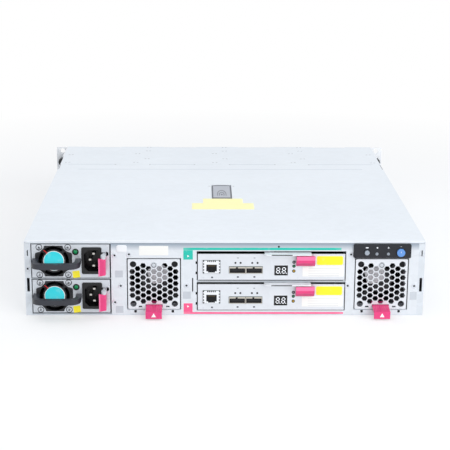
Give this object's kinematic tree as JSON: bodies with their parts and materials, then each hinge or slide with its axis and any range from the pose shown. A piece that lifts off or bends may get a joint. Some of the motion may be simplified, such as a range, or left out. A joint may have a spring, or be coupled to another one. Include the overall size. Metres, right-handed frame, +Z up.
{
  "type": "disk shelf enclosure",
  "caption": "Rack-mounted disk shelf with sliding drive carriers, hot-plug power supplies, fan modules and input/output modules on its service side.",
  "frame": {"origin": "middle of the chassis underside", "axes": "+X to the right when facing the service side, +Y from the service side toward the drives, +Z up"},
  "size_m": [0.4826, 0.541, 0.0872],
  "materials": {
    "black_plastic": "matte moulded",
    "blue_plastic": "moulded blue",
    "bright_steel": "brushed",
    "circuit_board": "coated board",
    "copper": "bright copper",
    "dark_plastic": "matte moulded",
    "drive_aluminium": "satin",
    "fan_plastic": "matte moulded",
    "galvanised_steel": "pale galvanised sheet",
    "grey_plastic": "matte moulded",
    "knob_metal": "knurled",
    "lens": "clear",
    "magenta_plastic": "moulded magenta"
  },
  "bodies": {
    "chassis": {"chassis_tray": "galvanised_steel", "rear_panel": "galvanised_steel", "psu_cage": "galvanised_steel", "fan_sleeves": "galvanised_steel", "io_cage": "galvanised_steel", "drive_cage": "galvanised_steel", "front_top_plate": "galvanised_steel", "midplane_board": "circuit_board", "midplane_connectors": "black_plastic", "power_board": "circuit_board", "bus_bars": "copper", "rack_ear_left": "galvanised_steel", "rack_ear_right": "galvanised_steel", "rack_knobs": "knob_metal", "status_panel": "black_plastic", "status_lights": "lens"},
    "cover": {"top_cover": "galvanised_steel"},
    "cover_latch_lever": {"cover_latch": "grey_plastic"},
    "power_button_cap": {"power_button": "blue_plastic"},
    "unit_id_button_cap": {"unit_id_button": "dark_plastic"},
    "psu1": {"psu1_case": "galvanised_steel", "psu1_fan_frame": "black_plastic", "psu1_inlet": "black_plastic", "psu1_handle": "black_plastic"},
    "psu1_fan": {"psu1_fan_rotor": "fan_plastic"},
    "psu1_lever": {"psu1_release_lever": "magenta_plastic"},
    "psu2": {"psu2_case": "galvanised_steel", "psu2_fan_frame": "black_plastic", "psu2_inlet": "black_plastic", "psu2_handle": "black_plastic"},
    "psu2_fan": {"psu2_fan_rotor": "fan_plastic"},
    "psu2_lever": {"psu2_release_lever": "magenta_plastic"},
    "fan1": {"fan1_case": "galvanised_steel", "fan1_frame": "black_plastic"},
    "fan1_impeller": {"fan1_rotor": "fan_plastic"},
    "fan1_tab": {"fan1_release_tab": "magenta_plastic"},
    "fan2": {"fan2_case": "galvanised_steel", "fan2_frame": "black_plastic"},
    "fan2_impeller": {"fan2_rotor": "fan_plastic"},
    "fan2_tab": {"fan2_release_tab": "magenta_plastic"},
    "io1": {"io1_case": "galvanised_steel", "io1_board": "circuit_board"},
    "io1_ejector": {"io1_ejector_lever": "bright_steel"},
    "io1_catch": {"io1_latch": "magenta_plastic"},
    "io2": {"io2_case": "galvanised_steel", "io2_board": "circuit_board"},
    "io2_ejector": {"io2_ejector_lever": "bright_steel"},
    "io2_catch": {"io2_latch": "magenta_plastic"},
    "drive_01_carrier": {"drive_01": "drive_aluminium"},
    "drive_02_carrier": {"drive_02": "drive_aluminium"},
    "drive_03_carrier": {"drive_03": "drive_aluminium"},
    "drive_04_carrier": {"drive_04": "drive_aluminium"},
    "drive_05_carrier": {"drive_05": "drive_aluminium"},
    "drive_06_carrier": {"drive_06": "drive_aluminium"},
    "drive_07_carrier": {"drive_07": "drive_aluminium"},
    "drive_08_carrier": {"drive_08": "drive_aluminium"},
    "drive_09_carrier": {"drive_09": "drive_aluminium"},
    "drive_10_carrier": {"drive_10": "drive_aluminium"},
    "drive_11_carrier": {"drive_11": "drive_aluminium"},
    "drive_12_carrier": {"drive_12": "drive_aluminium"}
  },
  "joints": [
    {"name": "cover_slide", "type": "slide", "parent": "chassis", "child": "cover", "axis": [0, -1, 0], "range_m": [0, 0.012]},
    {"name": "cover_latch_lift", "type": "hinge", "parent": "cover", "child": "cover_latch_lever", "pos_m": [-0.0009, -0.057, 0.0842], "axis": [1, 0, 0], "range_deg": [0, 50]},
    {"name": "power_button_press", "type": "slide", "parent": "chassis", "child": "power_button_cap", "axis": [0, 1, 0], "range_m": [0, 0.0015], "stiffness_N_per_m": 500, "springref_m": -0.0005},
    {"name": "unit_id_button_press", "type": "slide", "parent": "chassis", "child": "unit_id_button_cap", "axis": [0, 1, 0], "range_m": [0, 0.0015], "stiffness_N_per_m": 500, "springref_m": -0.0005},
    {"name": "psu1_slide", "type": "slide", "parent": "chassis", "child": "psu1", "axis": [0, -1, 0], "range_m": [0, 0.2]},
    {"name": "psu1_lever_squeeze", "type": "hinge", "parent": "psu1", "child": "psu1_lever", "pos_m": [-0.1354, -0.246, 0.0623], "axis": [0, 0, -1], "range_deg": [0, 6], "stiffness_Nm_per_rad": 0.5, "springref_deg": -5.73},
    {"name": "psu1_fan_spin", "type": "hinge", "parent": "psu1", "child": "psu1_fan", "pos_m": [-0.1914, -0.24, 0.0637], "axis": [0, 1, 0], "continuous": true},
    {"name": "psu2_slide", "type": "slide", "parent": "chassis", "child": "psu2", "axis": [0, -1, 0], "range_m": [0, 0.2]},
    {"name": "psu2_lever_squeeze", "type": "hinge", "parent": "psu2", "child": "psu2_lever", "pos_m": [-0.1354, -0.246, 0.0211], "axis": [0, 0, -1], "range_deg": [0, 6], "stiffness_Nm_per_rad": 0.5, "springref_deg": -5.73},
    {"name": "psu2_fan_spin", "type": "hinge", "parent": "psu2", "child": "psu2_fan", "pos_m": [-0.1914, -0.24, 0.0225], "axis": [0, 1, 0], "continuous": true},
    {"name": "fan1_slide", "type": "slide", "parent": "chassis", "child": "fan1", "axis": [0, -1, 0], "range_m": [0, 0.075]},
    {"name": "fan1_tab_press", "type": "hinge", "parent": "fan1", "child": "fan1_tab", "pos_m": [-0.0798, -0.25, 0.01105], "axis": [-1, 0, 0], "range_deg": [0, 6], "stiffness_Nm_per_rad": 0.5, "springref_deg": -5.73},
    {"name": "fan1_spin", "type": "hinge", "parent": "fan1", "child": "fan1_impeller", "pos_m": [-0.0798, -0.218, 0.03675], "axis": [0, 1, 0], "continuous": true},
    {"name": "fan2_slide", "type": "slide", "parent": "chassis", "child": "fan2", "axis": [0, -1, 0], "range_m": [0, 0.075]},
    {"name": "fan2_tab_press", "type": "hinge", "parent": "fan2", "child": "fan2_tab", "pos_m": [0.1758, -0.25, 0.01105], "axis": [-1, 0, 0], "range_deg": [0, 6], "stiffness_Nm_per_rad": 0.5, "springref_deg": -5.73},
    {"name": "fan2_spin", "type": "hinge", "parent": "fan2", "child": "fan2_impeller", "pos_m": [0.1758, -0.218, 0.03675], "axis": [0, 1, 0], "continuous": true},
    {"name": "io1_slide", "type": "slide", "parent": "chassis", "child": "io1", "axis": [0, -1, 0], "range_m": [0, 0.28]},
    {"name": "io1_ejector_swing", "type": "hinge", "parent": "io1", "child": "io1_ejector", "pos_m": [0.049, -0.246, 0.0733], "axis": [0, 0, -1], "range_deg": [0, 95]},
    {"name": "io1_latch_release", "type": "hinge", "parent": "io1", "child": "io1_catch", "pos_m": [0.0894, -0.256, 0.0602], "axis": [1, 0, 0], "range_deg": [0, 10], "stiffness_Nm_per_rad": 0.3, "springref_deg": -5.73},
    {"name": "io2_slide", "type": "slide", "parent": "chassis", "child": "io2", "axis": [0, -1, 0], "range_m": [0, 0.28]},
    {"name": "io2_ejector_swing", "type": "hinge", "parent": "io2", "child": "io2_ejector", "pos_m": [0.049, -0.246, 0.0378], "axis": [0, 0, -1], "range_deg": [0, 95]},
    {"name": "io2_latch_release", "type": "hinge", "parent": "io2", "child": "io2_catch", "pos_m": [0.0894, -0.256, 0.0247], "axis": [1, 0, 0], "range_deg": [0, 10], "stiffness_Nm_per_rad": 0.3, "springref_deg": -5.73},
    {"name": "drive_01_slide", "type": "slide", "parent": "chassis", "child": "drive_01_carrier", "axis": [0, 1, 0], "range_m": [0, 0.185]},
    {"name": "drive_02_slide", "type": "slide", "parent": "chassis", "child": "drive_02_carrier", "axis": [0, 1, 0], "range_m": [0, 0.185]},
    {"name": "drive_03_slide", "type": "slide", "parent": "chassis", "child": "drive_03_carrier", "axis": [0, 1, 0], "range_m": [0, 0.185]},
    {"name": "drive_04_slide", "type": "slide", "parent": "chassis", "child": "drive_04_carrier", "axis": [0, 1, 0], "range_m": [0, 0.185]},
    {"name": "drive_05_slide", "type": "slide", "parent": "chassis", "child": "drive_05_carrier", "axis": [0, 1, 0], "range_m": [0, 0.185]},
    {"name": "drive_06_slide", "type": "slide", "parent": "chassis", "child": "drive_06_carrier", "axis": [0, 1, 0], "range_m": [0, 0.185]},
    {"name": "drive_07_slide", "type": "slide", "parent": "chassis", "child": "drive_07_carrier", "axis": [0, 1, 0], "range_m": [0, 0.185]},
    {"name": "drive_08_slide", "type": "slide", "parent": "chassis", "child": "drive_08_carrier", "axis": [0, 1, 0], "range_m": [0, 0.185]},
    {"name": "drive_09_slide", "type": "slide", "parent": "chassis", "child": "drive_09_carrier", "axis": [0, 1, 0], "range_m": [0, 0.185]},
    {"name": "drive_10_slide", "type": "slide", "parent": "chassis", "child": "drive_10_carrier", "axis": [0, 1, 0], "range_m": [0, 0.185]},
    {"name": "drive_11_slide", "type": "slide", "parent": "chassis", "child": "drive_11_carrier", "axis": [0, 1, 0], "range_m": [0, 0.185]},
    {"name": "drive_12_slide", "type": "slide", "parent": "chassis", "child": "drive_12_carrier", "axis": [0, 1, 0], "range_m": [0, 0.185]}
  ]
}
